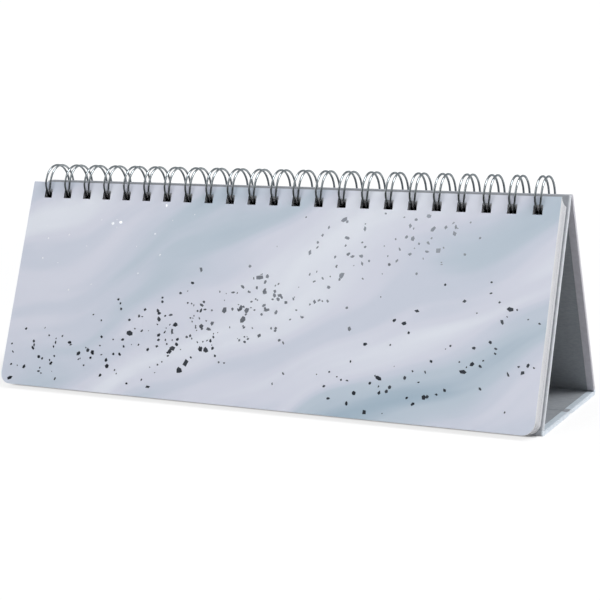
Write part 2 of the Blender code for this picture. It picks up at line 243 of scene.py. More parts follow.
def blank_sheet(low, high):
    """A flat sheet between two corners in the slope frame, with rounded lower corners."""
    shape = bmesh.new()
    size = high - low
    middle = Vector(((low.x + high.x) / 2, (low.y + high.y) / 2, low.z))
    bmesh.ops.create_grid(shape, x_segments=1, y_segments=1, size=0.5, matrix=(
        Matrix.Translation(middle) @ Matrix.Diagonal((size.x, size.y, 1, 1))))
    corners = [v for v in shape.verts if v.co.y < middle.y]
    bmesh.ops.bevel(shape, geom=corners, offset=CORNER_RADIUS, affect="VERTICES",
                    segments=CORNER_STEPS, profile=0.5, material=-1)
    return shape


print("corners of", round(CORNER_RADIUS / MM, 1), "mm radius")

# %% [markdown]
# ## The row of holes
# One square hole is punched for each wire loop, at the trade spacing of two to the inch. The blank
# is cut with planes at the edges of the holes and the small squares are deleted. Planes keep every
# hole edge exactly straight, and they need no second solid to cut with.

# %% Punch the holes
LOOP_COUNT, LOOP_PITCH = 23, 12.7 * MM
HOLE_SIZE, HOLE_MARGIN = 4.7 * MM, 6.65 * MM
SAME_PLACE = 1e-7


def loop_x(index):
    """Middle of one loop and its hole, from the middle of the pad."""
    return (index - (LOOP_COUNT - 1) / 2) * LOOP_PITCH


def from_loop(x):
    """Distance of a place across the pad from the nearest loop."""
    return min(abs(loop_x(index) - x) for index in range(LOOP_COUNT))


def cut_across(shape, faces, place, normal):
    """Cut some faces of a shape with a plane."""
    edges = list({e for f in faces for e in f.edges})
    verts = list({v for f in faces for v in f.verts})
    bmesh.ops.bisect_plane(shape, geom=verts + edges + faces, dist=SAME_PLACE,
                           plane_co=place, plane_no=normal)


def punch_holes(shape, low, high):
    """Cut the row of square holes out of a flat sheet."""
    middle, hole_up = (low.x + high.x) / 2, high.y - HOLE_MARGIN
    bottom, top = hole_up - HOLE_SIZE / 2, hole_up + HOLE_SIZE / 2

    def band():
        """The faces in the row of holes."""
        return [f for f in shape.faces if bottom < f.calc_center_median().y < top]

    for edge in (bottom, top):
        cut_across(shape, shape.faces[:], (0, edge, 0), (0, 1, 0))
    for index in range(LOOP_COUNT):
        for side in (-1, 1):
            x = middle + loop_x(index) + side * HOLE_SIZE / 2
            cut_across(shape, band(), (x, 0, 0), (1, 0, 0))
    holes = [f for f in band() if from_loop(f.calc_center_median().x - middle) < HOLE_SIZE / 4]
    bmesh.ops.delete(shape, geom=holes, context="FACES")


print("hole row", round(2 * loop_x(LOOP_COUNT - 1) / MM, 1), "mm long")

# %% [markdown]
# ## From flat to thick
# A sheet has a thickness, so its flat faces are pulled out of the plane. The faces that line the
# holes are found again by their place, because they get a material of their own.

# %% Thicken a sheet
# a face is one of a sheet's two sides if its normal leans out of the sheet by more than this
FACING_OUT = 0.5
WALL_SLACK = 0.3 * MM


def pull_out(shape, step):
    """Pull all faces of a flat shape along a step, which closes it to a solid."""
    far = bmesh.ops.extrude_face_region(shape, geom=shape.faces[:])["geom"]
    bmesh.ops.translate(shape, verts=[g for g in far if isinstance(g, bmesh.types.BMVert)],
                        vec=step)
    bmesh.ops.recalc_face_normals(shape, faces=shape.faces[:])


def punched_sheet(low, high, shift=(0.0, 0.0)):
    """A punched sheet between two corners in the slope frame, shifted in its own plane."""
    shape = blank_sheet(low, high)
    punch_holes(shape, low, high)
    bmesh.ops.translate(shape, verts=shape.verts[:], vec=(*shift, 0))
    pull_out(shape, (0, 0, high.z - low.z))
    return shape


def hole_walls(shape, low, high):
    """The faces that line a sheet's holes."""
    middle, hole_up = (low.x + high.x) / 2, high.y - HOLE_MARGIN
    reach = HOLE_SIZE / 2 + WALL_SLACK
    walls = []
    for face in shape.faces:
        place = face.calc_center_median()
        near = abs(place.y - hole_up) < reach and from_loop(place.x - middle) < reach
        if near and abs(face.normal.z) < FACING_OUT:
            walls.append(face)
    return walls


print("sheet helpers:", punched_sheet.__name__, hole_walls.__name__)

# %% [markdown]
# ## From shape to object
# A map from 0 to 1 across each sheet lets a print follow the paper when it turns. A finished piece
# keeps its place in its mesh and stays at the origin itself, so that object coordinates are metres
# in the CAD frame.

# %% Map and finish a piece
def add_sheet_map(shape, low, high):
    """A UV map that runs from 0 to 1 across the sheet's width and up its height."""
    layer = shape.loops.layers.uv.new("sheet")
    for face in shape.faces:
        for loop in face.loops:
            place = loop.vert.co - low
            loop[layer].uv = (place.x / (high.x - low.x), place.y / (high.y - low.y))


def finish_piece(name, shape, place, *materials):
    """Turn a bmesh into an object whose place is in its mesh."""
    bmesh.ops.transform(shape, matrix=place, verts=shape.verts[:])
    mesh = bpy.data.meshes.new(name)
    shape.to_mesh(mesh)
    shape.free()
    for material in materials:
        mesh.materials.append(material)
    piece = bpy.data.objects.new(name, mesh)
    bpy.context.scene.collection.objects.link(piece)
    return piece


print("piece helpers:", add_sheet_map.__name__, finish_piece.__name__)

# %% [markdown]
# ## The cover's print
# The cover is coated card with a silk film: soft streaks of blue-grey and lavender, like water
# colour pulled across wet paper. Noise that is stretched along one slanting line gives the streaks,
# and a slower noise bends that line. The film gives a low, wide gloss, and its own fine skin shows
# as a faint bump.

# %% Printed cover card
STREAK_SLANT, STREAK_STRETCH = math.radians(-27), 0.15
STREAK_START = (0.07, 0.52, 0.93)  # which part of the endless noise lands on the cover
BROAD_STREAK, FINE_STREAK, FINE_SHARE = 38 * MM, 9 * MM, 0.09
DRIFT_GRAIN, DRIFT_REACH = 90 * MM, 50 * MM
STREAK_COLOURS = [(0.37, "#a3b6c5"), (0.46, "#bdc9d5"), (0.535, "#cdd2df"), (0.60, "#d7d9e5"),
                  (0.71, "#e4e7ef")]


def printed_cover():
    """Silk-laminated printed card: pale streaks under a film with a low, wide gloss."""
    made, tree, shader = start_material("silk_laminated_cover_card", Roughness=0.42, IOR=1.5)
    flat = slope_coordinates(tree)
    drift = noise_of(tree, flat, DRIFT_GRAIN, detail=1.0, roughness=0.4)
    bend = add_node(tree, "ShaderNodeVectorMath", {
        0: drift["Color"], 1: (DRIFT_REACH, DRIFT_REACH, 0.0)}, operation="MULTIPLY")
    bent = add_node(tree, "ShaderNodeVectorMath", {0: flat, 1: bend.outputs["Vector"]})
    slanted = add_node(tree, "ShaderNodeMapping", {
        "Vector": bent.outputs["Vector"], "Rotation": (0, 0, STREAK_SLANT),
        "Location": STREAK_START})
    stretched = add_node(tree, "ShaderNodeMapping", {
        "Vector": slanted.outputs["Vector"], "Scale": (STREAK_STRETCH, 1.0, 1.0)})
    broad = noise_of(tree, stretched.outputs["Vector"], BROAD_STREAK, roughness=0.42)
    fine = noise_of(tree, stretched.outputs["Vector"], FINE_STREAK)
    mixed = calculate(tree, "MULTIPLY_ADD", fine["Fac"], FINE_SHARE, broad["Fac"])
    set_colour(tree, shader, colour_steps(tree, mixed, STREAK_COLOURS))
    set_bump(tree, shader, noise_of(tree, flat, 0.6 * MM), strength=0.04, depth=0.05 * MM)
    return made


COVER_CARD = printed_cover()
print("made", COVER_CARD.name)

# %% [markdown]
# ## The cover
# A card of half a millimetre, cut like the leaves but four millimetres longer, so that it hides
# their lower edges. The back of the card is unprinted white board.

# %% Cut the cover
def white_board():
    """Uncoated white board: matt, with the faint cloud of its fibres."""
    made, tree, shader = start_material("uncoated_white_board", Roughness=0.8, IOR=1.45)
    cloud = noise_of(tree, slope_coordinates(tree), 1.2 * MM, detail=5.0)
    set_colour(tree, shader, two_tones(tree, cloud, "#eceae6", "#f6f5f2"))
    set_bump(tree, shader, cloud, strength=0.1, depth=0.03 * MM)
    return made


def hole_wall_painted_shade():
    """Walls of the punched holes, with painted shade: near-black, to stand for the dark that dozens
    of tight paper edges make inside the holes. A dark, rough surface stands for that, because a few
    smooth walls would not."""
    made, tree, shader = start_material("hole_walls_painted_shade", Roughness=0.95, IOR=1.3)
    edges = noise_of(tree, object_place(tree), 0.4 * MM)
    set_colour(tree, shader, two_tones(tree, edges, "#131417", "#24262a"))
    return made


WHITE_BOARD, HOLE_WALL_PAINTED_SHADE = white_board(), hole_wall_painted_shade()
shape = punched_sheet(COVER_LOW, COVER_HIGH)
add_sheet_map(shape, COVER_LOW, COVER_HIGH)
for face in shape.faces:
    face.material_index = 0 if face.normal.z > FACING_OUT else 1
# the hole walls get painted shade
for face in hole_walls(shape, COVER_LOW, COVER_HIGH):
    face.material_index = 2
cover = finish_piece("cover_card", shape, SLOPE, COVER_CARD, WHITE_BOARD, HOLE_WALL_PAINTED_SHADE)
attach(cover, "cover")
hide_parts("front_cover")
print(cover.name, len(cover.data.polygons), "faces")

# %% [markdown]
# ## A foil fleck
# Scraps of silver foil are stamped on the print. Each one is a small circle of four to six corners,
# pushed out of shape, squeezed and turned. A seeded random number keeps the scraps the same in
# every run.

# %% Make one fleck
FLECK_CORNERS = (4, 5, 5, 6)
CORNER_PUSH, LONG_SIDE, SHORT_SIDE = (0.62, 1.2), (0.8, 1.25), (0.55, 0.95)
FULL_TURN = 2 * math.pi
scatter = random.Random(41)


def foil():
    """Hot-stamped silver foil: a mirror a few thousandths of a millimetre thick. Its colour holds a
    painted
    reflection: each fleck is painted from dark grey to near white by an attribute."""
    made, tree, shader = start_material("hot_stamped_silver_foil", Metallic=1.0, Roughness=0.28)
    shade = add_node(tree, "ShaderNodeAttribute", attribute_name="foil_painted_reflection")
    set_colour(tree, shader, colour_steps(tree, shade.outputs["Fac"], [
        (0.0, "#34373d"), (0.45, "#777b82"), (0.8, "#c2c6cc"), (1.0, "#fbfcff")]))
    return made


def add_fleck(shape, shades, place, size, shade):
    """One pressed scrap of foil at a place in the slope frame."""
    verts = bmesh.ops.create_circle(shape, cap_ends=True, segments=scatter.choice(FLECK_CORNERS),
                                    radius=size / 2)["verts"]
    for vert in verts:
        vert.co *= scatter.uniform(*CORNER_PUSH)
    turn = Matrix.Rotation(scatter.uniform(0, FULL_TURN), 4, "Z")
    squeeze = Matrix.Diagonal((scatter.uniform(*LONG_SIDE), scatter.uniform(*SHORT_SIDE), 1, 1))
    aim = Matrix.Rotation(scatter.uniform(0, FULL_TURN), 4, "Z")
    bmesh.ops.transform(shape, matrix=Matrix.Translation(place) @ aim @ squeeze @ turn,
                        verts=verts)
    for face in {f for v in verts for f in v.link_faces}:
        if face.normal.z < 0:
            face.normal_flip()
    for vert in verts:
        vert[shades] = shade


FOIL = foil()
print("made", FOIL.name)

# %% [markdown]
# ## The drifts of foil
# The flecks drift over the cover in loose bands, thick in the middle of a band and thin at its rim.
# A bell curve across the band gives that. The flecks stay off the card's edge and the row of holes,
# and are pressed a hundredth of a millimetre into the card.

# %% Scatter the flecks
FLECK_DRIFTS = (
    # start and end of a drift over the cover (share of width and height), its half width, flecks,
    # their usual size in mm, and the painted reflection: how bright the foil is painted at the
    # start and at the end
    ((0.02, 0.09), (0.40, 0.30), 0.10, 120, 1.8, 0.03, 0.10),
    ((0.30, 0.24), (0.52, 0.52), 0.09, 70, 1.6, 0.08, 0.34),
    ((0.48, 0.44), (0.84, 0.93), 0.10, 140, 1.8, 0.28, 0.52),
    ((0.66, 0.08), (0.99, 0.40), 0.14, 85, 1.9, 0.02, 0.16),
    # this last drift paints small white glints
    ((0.06, 0.60), (0.34, 0.88), 0.12, 26, 1.1, 0.97, 0.97),
)
DRIFT_OVERRUN, DRIFT_SLANT = 0.06, 0.18
SIZE_SPREAD, SIZE_LIMIT, FLECK_REFLECTION_SPREAD = 0.36, 3.8, 0.06
EDGE_MARGIN, HOLE_ROW = 2.5 * MM, 10.5 * MM
FOIL_THICKNESS, FOIL_PRESSED = 0.03 * MM, 0.01 * MM

shape = bmesh.new()
shades = shape.verts.layers.float.new("foil_painted_reflection")
cover_size = COVER_HIGH - COVER_LOW
count = 0
for start, end, half_width, drift_count, usual, dark, bright in FLECK_DRIFTS:
    for _ in range(drift_count):
        along = scatter.uniform(-DRIFT_OVERRUN, 1 + DRIFT_OVERRUN)
        aside = scatter.gauss(0, half_width)
        x = COVER_LOW.x + cover_size.x * (
            start[0] + (end[0] - start[0]) * along - DRIFT_SLANT * aside)
        y = COVER_LOW.y + cover_size.y * (start[1] + (end[1] - start[1]) * along + aside)
        size = MM * min(SIZE_LIMIT, scatter.lognormvariate(math.log(usual), SIZE_SPREAD))
        inside = (COVER_LOW.x + EDGE_MARGIN < x < COVER_HIGH.x - EDGE_MARGIN
                  and COVER_LOW.y + EDGE_MARGIN < y < COVER_HIGH.y - HOLE_ROW)
        if not inside:
            continue
        # painted reflection: a fleck's brightness follows its place along the drift, with a little
        # random spread
        shade = dark + (bright - dark) * min(max(along, 0), 1)
        shade += scatter.uniform(-FLECK_REFLECTION_SPREAD, FLECK_REFLECTION_SPREAD)
        add_fleck(shape, shades, Vector((x, y, COVER_HIGH.z - FOIL_PRESSED)), size,
                  min(max(shade, 0.0), 1.0))
        count += 1
pull_out(shape, (0, 0, FOIL_THICKNESS))
flecks = finish_piece("foil_flecks", shape, SLOPE, FOIL)
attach(flecks, "cover")
print(flecks.name, count, "flecks")

# %% [markdown]
# ## The printed week
# Every leaf carries a plain week: a column for each day, lines to write on and a rule under the
# heads. The rules are drawn with arithmetic on the sheet's own map, so they turn with the leaf and
# stay sharp from close by. The paper itself is uncoated, because it has to take ink.

# %% Leaf paper with its printed week
# places in the print are shares of the leaf's width or height
DAYS, SIDE_MARGIN = 7, 0.03
COLUMN_HALF, LINE_HALF = (1 - 2 * SIDE_MARGIN) / DAYS / 2, 0.03
COLUMN_INK, COLUMN_UP, COLUMN_ACROSS = 0.0007, (0.06, 0.84), (0.02, 0.98)
LINE_INK, LINE_UP, LINE_ACROSS = 0.0014, (0.08, 0.70), (0.034, 0.966)
HEAD_UP, HEAD_ACROSS = (0.745, 0.7505), (SIDE_MARGIN, 1 - SIDE_MARGIN)
FAINT = 0.45


def ruled(tree, value, half, ink):
    """1 on thin lines that are two halves apart."""
    return calculate(tree, "LESS_THAN", calculate(tree, "PINGPONG", value, half), ink)


def within(tree, value, low, high):
    """1 where a value lies between two limits."""
    return calculate(tree, "MULTIPLY", calculate(tree, "GREATER_THAN", value, low),
                     calculate(tree, "LESS_THAN", value, high))


def week_ink(tree):
    """Where a leaf carries ink, drawn on the sheet's own map."""
    sheet = add_node(tree, "ShaderNodeTexCoord").outputs["UV"]
    split = add_node(tree, "ShaderNodeSeparateXYZ", {"Vector": sheet}).outputs
    across, up = split["X"], split["Y"]

    def kept_inside(ink, up_limits, across_limits):
        """Ink that is cut off outside a patch of the leaf."""
        ink = calculate(tree, "MULTIPLY", ink, within(tree, up, *up_limits))
        return calculate(tree, "MULTIPLY", ink, within(tree, across, *across_limits))

    days = ruled(tree, calculate(tree, "SUBTRACT", across, SIDE_MARGIN), COLUMN_HALF, COLUMN_INK)
    columns = kept_inside(days, COLUMN_UP, COLUMN_ACROSS)
    lines = kept_inside(ruled(tree, up, LINE_HALF, LINE_INK), LINE_UP, LINE_ACROSS)
    head = calculate(tree, "MULTIPLY", within(tree, up, *HEAD_UP),
                     within(tree, across, *HEAD_ACROSS))
    return calculate(tree, "MAXIMUM", calculate(tree, "MAXIMUM", columns, head),
                     calculate(tree, "MULTIPLY", lines, FAINT))


def leaf_paper():
    """Uncoated white writing paper with fine grey rules: matt, with a soft cloud of fibres."""
    made, tree, shader = start_material("uncoated_writing_paper", Roughness=0.85, IOR=1.45)
    cloud = noise_of(tree, slope_coordinates(tree), 1.0 * MM, detail=4.0)
    paper = two_tones(tree, cloud, "#e9e9ec", "#f1f1f4")
    set_colour(tree, shader, mix_colours(tree, week_ink(tree), paper, linear("#8e9bac")))
    set_bump(tree, shader, cloud, strength=0.1, depth=0.03 * MM)
    return made


LEAF_PAPER = leaf_paper()
print("made", LEAF_PAPER.name)

# %% [markdown]
# ## The block's edge
# The block is cut on a guillotine, and its edge shows the leaves as fine lines. A single leaf is
# too thin to show in the render, so one drawn line stands for a dozen leaves.

# %% Trimmed edge
def trimmed_edge():
    """The guillotined edge of the block: chalky white, in fine grey lines from leaf to leaf."""
    made, tree, shader = start_material("guillotined_paper_edge", Roughness=0.92, IOR=1.45)
    depth = add_node(tree, "ShaderNodeSeparateXYZ", {"Vector": slope_coordinates(tree)})
    lines = add_node(tree, "ShaderNodeTexNoise", {
        "W": depth.outputs["Z"], "Scale": 1 / (1.8 * MM), "Detail": 2.0}, noise_dimensions="1D")
    set_colour(tree, shader, colour_steps(tree, lines.outputs["Fac"], [
        (0.38, "#b4b4b9"), (0.46, "#d6d6d8"), (0.60, "#e9e8e8")]))
    return made


TRIMMED_EDGE = trimmed_edge()
print("made", TRIMMED_EDGE.name)

# %% [markdown]
# ## The block of leaves
# Fifty-three leaves, one for each week, hang behind the cover. The CAD model turns them in twelve
# packs, so each pack is filled with its own thin sheets. No stack is cut perfectly: each leaf is
# moved by up to about a tenth of a millimetre, which gives the block's edge its fine lines.

# %% Fill the packs with leaves
LEAF_THICKNESS = 0.11 * MM
LEAVES_IN_PACK = (5, 4, 5, 4, 4, 5, 4, 5, 4, 4, 5, 4)
JOG_ACROSS, JOG_UP = 0.12, 0.1
jog = random.Random(7)


def add_leaf(whole, low, high, shift):
    """Add one leaf between two corners to a pack, with its faces sorted by material."""
    leaf = punched_sheet(low, high, shift)
    add_sheet_map(leaf, low, high)
    leaf.normal_update()
    for face in leaf.faces:
        face.material_index = 0 if abs(face.normal.z) > FACING_OUT else 2
    # the hole walls get painted shade
    for face in hole_walls(leaf, low, high):
        face.material_index = 1
    part = bpy.data.meshes.new("leaf")
    leaf.to_mesh(part)
    leaf.free()
    whole.from_mesh(part)
    bpy.data.meshes.remove(part)


for number, leaves in enumerate(LEAVES_IN_PACK, start=1):
    pack = f"leaf_pack_{number:02d}"
    low, high = slope_box(pack)
    whole = bmesh.new()
    spacing = (high.z - low.z - LEAF_THICKNESS) / (leaves - 1)
    for index in range(leaves):
        back = low.z + index * spacing
        shift = (jog.uniform(-JOG_ACROSS, JOG_ACROSS) * MM, jog.uniform(-JOG_UP, JOG_UP) * MM)
        add_leaf(whole, Vector((low.x, low.y, back)),
                 Vector((high.x, high.y, back + LEAF_THICKNESS)), shift)
    piece = finish_piece(f"leaves_{number:02d}_paper", whole, SLOPE, LEAF_PAPER, HOLE_WALL_PAINTED_SHADE,
                         TRIMMED_EDGE)
    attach(piece, f"leaves_{number:02d}")
    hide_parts(pack)
print(sum(LEAVES_IN_PACK), "leaves in", len(LEAVES_IN_PACK), "packs")

# %% [markdown]
# ## The path of the wire
# The binding is one length of bright drawn steel, bent into twenty-three double loops. Each loop
# leaves the spine inside the stand, runs up behind, over the top and down through the holes, where
# its two legs close in to a rounded tip. A list of points in that order is the whole wire, because
# the forming machine bends it in that order too.

# %% Bend the wire
RING_RADIUS, BEND_RADIUS = 11.0 * MM, 1.1 * MM
LEG_SPACING, TIP_SPACING = 3.0 * MM, 1.9 * MM
SPINE_ANGLE, TIP_ANGLE, COVER_ANGLE = (math.radians(v) for v in (277.65, 627.75, 557.7))
NARROW_ARC = math.radians(28.0)
LEG_STEPS, TIP_STEPS = 40, 8
BEND_TURNS = [math.radians(v) for v in (0, 22.5, 45, 67.5)]


def ring_point(x, angle):
    """A point on the ring, at an angle measured up from the rear."""
    return Vector((RING.x + x, RING.y + RING_RADIUS * math.cos(angle),
                   RING.z + RING_RADIUS * math.sin(angle)))


def half_spacing(angle):
    """Half the distance between a loop's legs, closing in towards the tip."""
    share = min(max(1 - (COVER_ANGLE - angle) / NARROW_ARC, 0.0), 1.0)
    smooth = share * share * (3 - 2 * share)
    return (LEG_SPACING + (TIP_SPACING - LEG_SPACING) * smooth) / 2


def wire_path():
    """The whole wire in order: spine, leg, tip and leg of each loop."""
    tip, outer = TIP_SPACING / 2, LEG_SPACING / 2 + BEND_RADIUS
    leg_start, leg_end = SPINE_ANGLE + BEND_RADIUS / RING_RADIUS, TIP_ANGLE - tip / RING_RADIUS
    legs = [leg_start + (leg_end - leg_start) * k / LEG_STEPS for k in range(LEG_STEPS + 1)]
    bends = [(BEND_RADIUS * math.sin(t),
              SPINE_ANGLE + BEND_RADIUS * (1 - math.cos(t)) / RING_RADIUS) for t in BEND_TURNS]
    tips = [(tip * math.cos(t), leg_end + tip * math.sin(t) / RING_RADIUS)
            for t in (math.pi * k / TIP_STEPS for k in range(1, TIP_STEPS))]
    path = []
    for x in map(loop_x, range(LOOP_COUNT)):
        path += [ring_point(x - outer + aside, angle) for aside, angle in bends]
        path += [ring_point(x - half_spacing(angle), angle) for angle in legs]
        path += [ring_point(x - aside, angle) for aside, angle in tips]
        path += [ring_point(x + half_spacing(angle), angle) for angle in reversed(legs)]
        path += [ring_point(x + outer - aside, angle) for aside, angle in reversed(bends)]
    return path


WIRE_PATH = wire_path()
print("wire path of", len(WIRE_PATH), "points")

# %% [markdown]
# ## Bright steel
# The wire is drawn through a die, which leaves it smooth and bright with faint cloudy marks. It is
# a mirror: most of what the eye sees on it is the room. An attribute on its points paints shade on
# it where it goes into the holes.

# %% Drawn steel
def steel_wire():
    """Drawn and polished steel: a mirror with faint cloudy marks, and painted shade from an
    attribute that darkens it at and inside the holes."""
    made, tree, shader = start_material(
        "bright_drawn_steel", Metallic=1.0, Roughness=0.16, Specular_Tint=linear("#b4b8bc"))
    drawn = noise_of(tree, object_place(tree), 1.5 * MM, detail=3.0)
    shade = add_node(tree, "ShaderNodeAttribute", attribute_name="wire_painted_shade")
    dimmed = add_node(tree, "ShaderNodeVectorMath", {
        0: two_tones(tree, drawn, "#8b9194", "#a0a6a9"), "Scale": shade.outputs["Fac"]},
        operation="SCALE")
    set_colour(tree, shader, dimmed.outputs["Vector"])
    return made


STEEL = steel_wire()
print("made", STEEL.name)

# %% [markdown]
# ## The round wire
# A curve with a round bevel is the natural tool for a wire: it carries one round section along all
# the bends. The curve is then turned into a mesh, so that each point can hold a painted shade. It
# is painted from just above the holes through the stretch inside the pad, down to almost no light.

# %% Draw the wire
WIRE_RADIUS = 0.55 * MM
# painted shade: degrees round the ring, up from the rear, and the share of light it takes away
# there
DARK_FROM, DARK_RAMP, DARK_TO, DARK_DEPTH = 189, 6, 274, 0.96


def round_wire(name, path):
    """A round wire along a path, as a bmesh."""
    curve = bpy.data.curves.new(name, "CURVE")
    curve.dimensions = "3D"
    curve.bevel_depth, curve.bevel_resolution = WIRE_RADIUS, 2
    curve.use_fill_caps = True
    spline = curve.splines.new("POLY")
    spline.points.add(len(path) - 1)
    for point, place in zip(spline.points, path):
        point.co = (*place, 1)
    holder = bpy.data.objects.new(name + "_curve", curve)
    bpy.context.scene.collection.objects.link(holder)
    bpy.context.view_layer.update()
    shape = bmesh.new()
    shape.from_mesh(holder.evaluated_get(bpy.context.evaluated_depsgraph_get()).to_mesh())
    bpy.data.objects.remove(holder)
    bpy.data.curves.remove(curve)
    for face in shape.faces:
        face.smooth = True
    return shape


shape = round_wire("twin_loop_wire", WIRE_PATH)
shades = shape.verts.layers.float.new("wire_painted_shade")
# paint shade on the wire, from just above the holes through the stretch inside the pad
for vert in shape.verts:
    angle = math.degrees(math.atan2(vert.co.z - RING.z, vert.co.y - RING.y)) % 360
    inside = min(max((angle - DARK_FROM) / DARK_RAMP, 0), 1) if angle < DARK_TO else 0
    vert[shades] = 1 - DARK_DEPTH * inside
wire = finish_piece("twin_loop_wire", shape, Matrix.Identity(4), STEEL)
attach(wire, "stand_front")
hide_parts("wire_binding")
print(wire.name, len(wire.data.polygons), "faces")

# %% [markdown]
# ## The covering paper
# The stand is greyboard wrapped in silver-grey paper, which is printed and varnished and so a
# little glossier than plain paper. Its folded ends, and the border that is turned in over the
# board,
# are painted paler: painted light where the lamps catch the ends and the inside of the stand. Masks
# find those places by how far a point is from the stand's middle and how deep it lies under the
# panel's outer skin.

# %% Covering paper
STAND_X, STAND_HALF, TURN_IN = 1.15 * MM, 150.0 * MM, 3.5 * MM
WRAP_PLAIN = ("#93969c", "#9ea1a7")
# where the painted light on the ends and the border fades in from the stand's middle, and how deep
# the border lies
PAINTED_END_FROM, PAINTED_END_TO = STAND_HALF - 0.9 * MM, STAND_HALF - 0.2 * MM
BORDER_FROM, BORDER_TO = STAND_HALF - TURN_IN - 0.3 * MM, STAND_HALF - TURN_IN
INNER_FROM, INNER_TO = 0.6 * MM, 1.2 * MM


def wrap_paper(name, ends, border=None, outward=None, skin=0.0):
    """Varnished silver-grey covering paper: satin, with a faint fibre cloud and fine pores. Painted
    light makes its ends paler, and its turned-in border too where the outward side is known."""
    made, tree, shader = start_material(name, Roughness=0.5, IOR=1.48)
    place = object_place(tree)
    cloud = noise_of(tree, place, 2.5 * MM, detail=6.0, roughness=0.6)
    colour = two_tones(tree, cloud, *WRAP_PLAIN)
    centred = add_node(tree, "ShaderNodeVectorMath", {0: place, 1: (-STAND_X, 0, 0)})
    along = add_node(tree, "ShaderNodeSeparateXYZ", {"Vector": centred.outputs["Vector"]})
    reach = calculate(tree, "ABSOLUTE", along.outputs["X"])
    if outward:
        depth = add_node(tree, "ShaderNodeVectorMath", {0: place, 1: outward},
                         operation="DOT_PRODUCT").outputs["Value"]
        inner = ramp(tree, depth, skin - INNER_FROM, skin - INNER_TO)
        turned = calculate(tree, "MULTIPLY", inner, ramp(tree, reach, BORDER_FROM, BORDER_TO))
        colour = mix_colours(tree, turned, colour, two_tones(tree, cloud, *border))
    painted_end_light = ramp(tree, reach, PAINTED_END_FROM, PAINTED_END_TO)
    set_colour(tree, shader, mix_colours(tree, painted_end_light, colour, two_tones(tree, cloud, *ends)))
    pores = noise_of(tree, place, 0.5 * MM, detail=3.0)
    set_bump(tree, shader, pores, strength=0.08, depth=0.04 * MM)
    return made


# painted light: paler tones for the ends and turned-in borders, one per panel as lit and shaded
# copies; the base's bluish white is painted lamp light
FRONT_PAINTED_LIGHT, BACK_PAINTED_LIGHT = ("#cdd0d5", "#dadde2"), ("#b6b4bb", "#c1bfc6")
BASE_END_PAINTED_LIGHT, BASE_BORDER_PAINTED_LIGHT = ("#dae2ea", "#e4ecf4"), ("#b9c3cc", "#c5cfd8")
WRAP_PAPER = wrap_paper("varnished_grey_covering_paper", BASE_END_PAINTED_LIGHT)
print("made", WRAP_PAPER.name)

# %% [markdown]
# ## Lining paper, board and the finished stand
# Inside, a plain grey paper is glued over the board, and the board itself shows only on hidden
# edges. The CAD pieces of the stand have the right shape already, so they only get finishes. The
# covering paper is made once for each panel, because each panel faces another way and gets its own
# painted light on its ends and border.

# %% Dress the stand
def liner_paper():
    """Uncoated grey lining paper: fully matt, with short darker and lighter fibres."""
    made, tree, shader = start_material("uncoated_grey_lining_paper", Roughness=0.88, IOR=1.45)
    fibres = add_node(tree, "ShaderNodeMapping", {
        "Vector": object_place(tree), "Scale": (0.3, 1.0, 1.0)})
    cloud = noise_of(tree, fibres.outputs["Vector"], 0.8 * MM, detail=5.0, roughness=0.65)
    set_colour(tree, shader, two_tones(tree, cloud, "#868a8f", "#92969b"))
    set_bump(tree, shader, cloud, strength=0.15, depth=0.04 * MM)
    return made


def grey_board():
    """Recycled greyboard: brownish grey pulp with dark specks on its cut edges."""
    made, tree, shader = start_material("recycled_greyboard", Roughness=0.92, IOR=1.45)
    pulp = noise_of(tree, object_place(tree), 0.9 * MM, detail=6.0, roughness=0.7)
    set_colour(tree, shader, colour_steps(tree, pulp["Fac"], [
        (0.3, "#6f6c66"), (0.5, "#8c8982"), (0.72, "#a19e97")]))
    return made


# each panel: painted light on its ends, painted light on its border, and its outward side
PANELS = {"front": (FRONT_PAINTED_LIGHT, FRONT_PAINTED_LIGHT, SLOPE_OUT),
          "back": (BACK_PAINTED_LIGHT, BACK_PAINTED_LIGHT, Vector((0, math.cos(LEAN), math.sin(LEAN)))),
          "base_front": (BASE_END_PAINTED_LIGHT, BASE_BORDER_PAINTED_LIGHT, Vector((0, 0, -1))),
          "base_rear": (BASE_END_PAINTED_LIGHT, BASE_BORDER_PAINTED_LIGHT, Vector((0, 0, -1)))}
LINER_PAPER, GREYBOARD = liner_paper(), grey_board()
FINISHES = {name + "_crease": WRAP_PAPER for name in ("front", "rear", "base")}
for panel, (ends, border, outward) in PANELS.items():
    skin = max(outward.dot(v.co) for v in frame["nodes"][panel + "_wrap"].data.vertices)
    FINISHES[panel + "_wrap"] = wrap_paper("covering_paper_on_" + panel, ends, border,
                                           tuple(outward), skin)
    FINISHES[panel + "_liner"], FINISHES[panel + "_board"] = LINER_PAPER, GREYBOARD
for name, material in FINISHES.items():
    frame["nodes"][name].data.materials.clear()
    frame["nodes"][name].data.materials.append(material)
print("finished", len(FINISHES), "pieces of the stand")

# %% [markdown]
# ## The creases from the side
# Between the panels only paper is left, and there the stand bends. A crease has the same outline
# all along, so it is drawn once as it is seen from the side: a rounded bend at the two bottom
# corners and a low ridge in the middle of the base.

# %% Outlines of the creases
PANEL, SETBACK = 2.0 * MM, 3.39 * MM
BEND, HALF_BASE = 1.5 * MM, 44.504 * MM
BEND_STEPS = 12
GROOVE_HALF, GROOVE_SLIT = 2.95 * MM, 0.03 * MM
OPENING = math.pi / 2 - LEAN
panel_side = (SETBACK * math.cos(OPENING), SETBACK * math.sin(OPENING))
FRONT_CORNER = SLOPE.translation.y
REAR_CORNER = FRONT_CORNER + 2 * HALF_BASE


